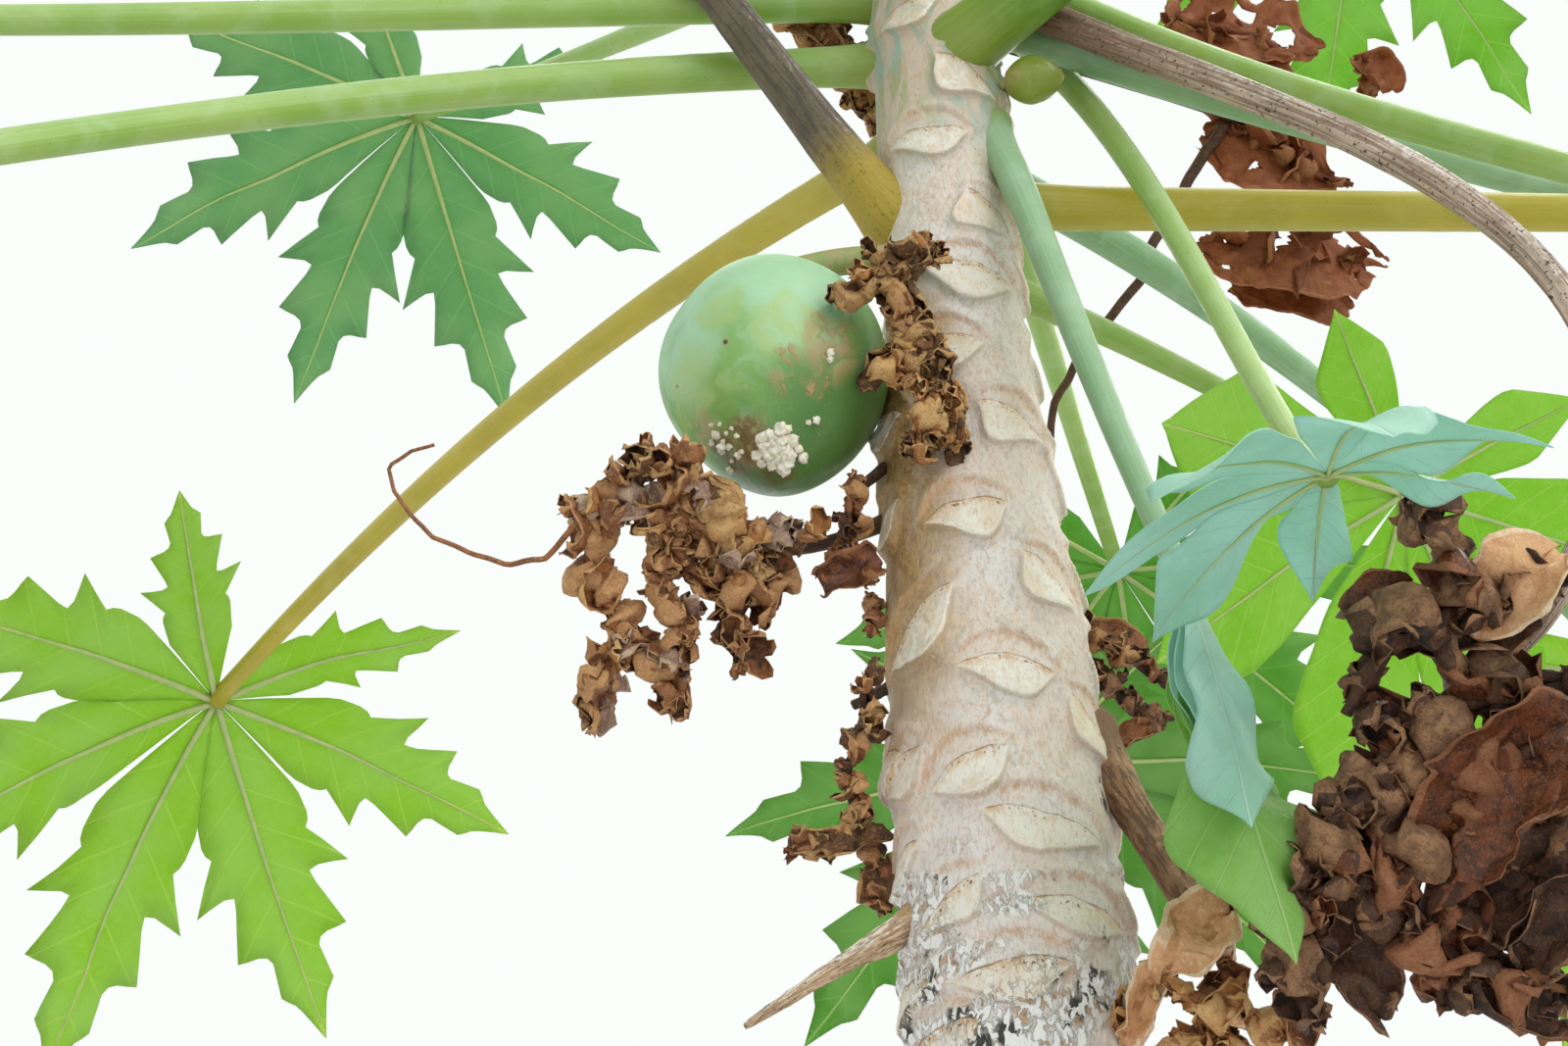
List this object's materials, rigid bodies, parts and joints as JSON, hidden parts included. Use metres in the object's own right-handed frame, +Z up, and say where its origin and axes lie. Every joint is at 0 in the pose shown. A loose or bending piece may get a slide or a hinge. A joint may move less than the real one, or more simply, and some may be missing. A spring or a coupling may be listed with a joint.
{
  "type": "pawpaw tree",
  "caption": "Pawpaw tree with one upright scarred trunk, a crown of long-stalked lobed leaves round its tip, dried leaves hanging below them, and green fruit against the trunk.",
  "frame": {"origin": "centre of the flat cut under the trunk, at ground level", "axes": "+Z up along the tree, +X to the right and +Y away from someone who stands in front of it"},
  "size_m": [1.9731, 1.9814, 3.3294],
  "materials": {
    "bark": "pale cream-grey bark with leaf scars, corky and flaking below, green near the tip",
    "leaf": "satin, waxy above and paler with netted veins below",
    "young_leaf": "satin, downy yellow-green",
    "dried_leaf": "matt, crisp and curled brown",
    "old_stalk": "matt, shrunken and striated grey-brown",
    "fruit_skin": "satin green skin with a waxy bloom"
  },
  "bodies": {
    "root": {"trunk": "bark", "growing_tip": "young_leaf", "leaf_right_low": "leaf", "leaf_right_behind": "leaf", "leaf_right_hanging": "leaf", "leaf_front_hanging": "leaf", "leaf_right_high": "leaf", "leaf_right": "leaf", "leaf_front_right": "leaf", "leaf_front_left": "leaf", "leaf_left_low": "leaf", "leaf_left_high": "leaf", "leaf_back_right": "leaf", "leaf_back": "leaf", "leaf_back_left": "leaf", "leaf_upper_1": "leaf", "leaf_upper_2": "leaf", "leaf_upper_3": "leaf", "leaf_upper_4": "leaf", "leaf_upper_5": "leaf", "leaf_upper_6": "leaf", "leaf_upper_7": "leaf", "leaf_upper_8": "leaf", "leaf_upper_9": "leaf", "leaf_upper_10": "leaf", "leaf_upper_11": "leaf", "leaf_upper_12": "leaf", "leaf_upper_13": "leaf", "leaf_upper_14": "leaf", "leaf_upper_15": "leaf", "dry_leaf_under_fruit": "dried_leaf", "dry_leaf_over_fruit": "dried_leaf", "dry_leaf_behind_fruit": "dried_leaf", "dry_leaf_left_low": "dried_leaf", "dry_leaf_left_top": "dried_leaf", "dry_leaf_right": "dried_leaf", "dry_leaf_right_low": "dried_leaf", "dry_leaf_on_long_stalk": "dried_leaf", "dry_leaf_back_right": "dried_leaf", "dry_leaf_back": "dried_leaf", "stalk_dying": "old_stalk", "stalk_broken": "old_stalk", "fruit_large": "fruit_skin", "fruit_small": "fruit_skin"}
  },
  "joints": []
}
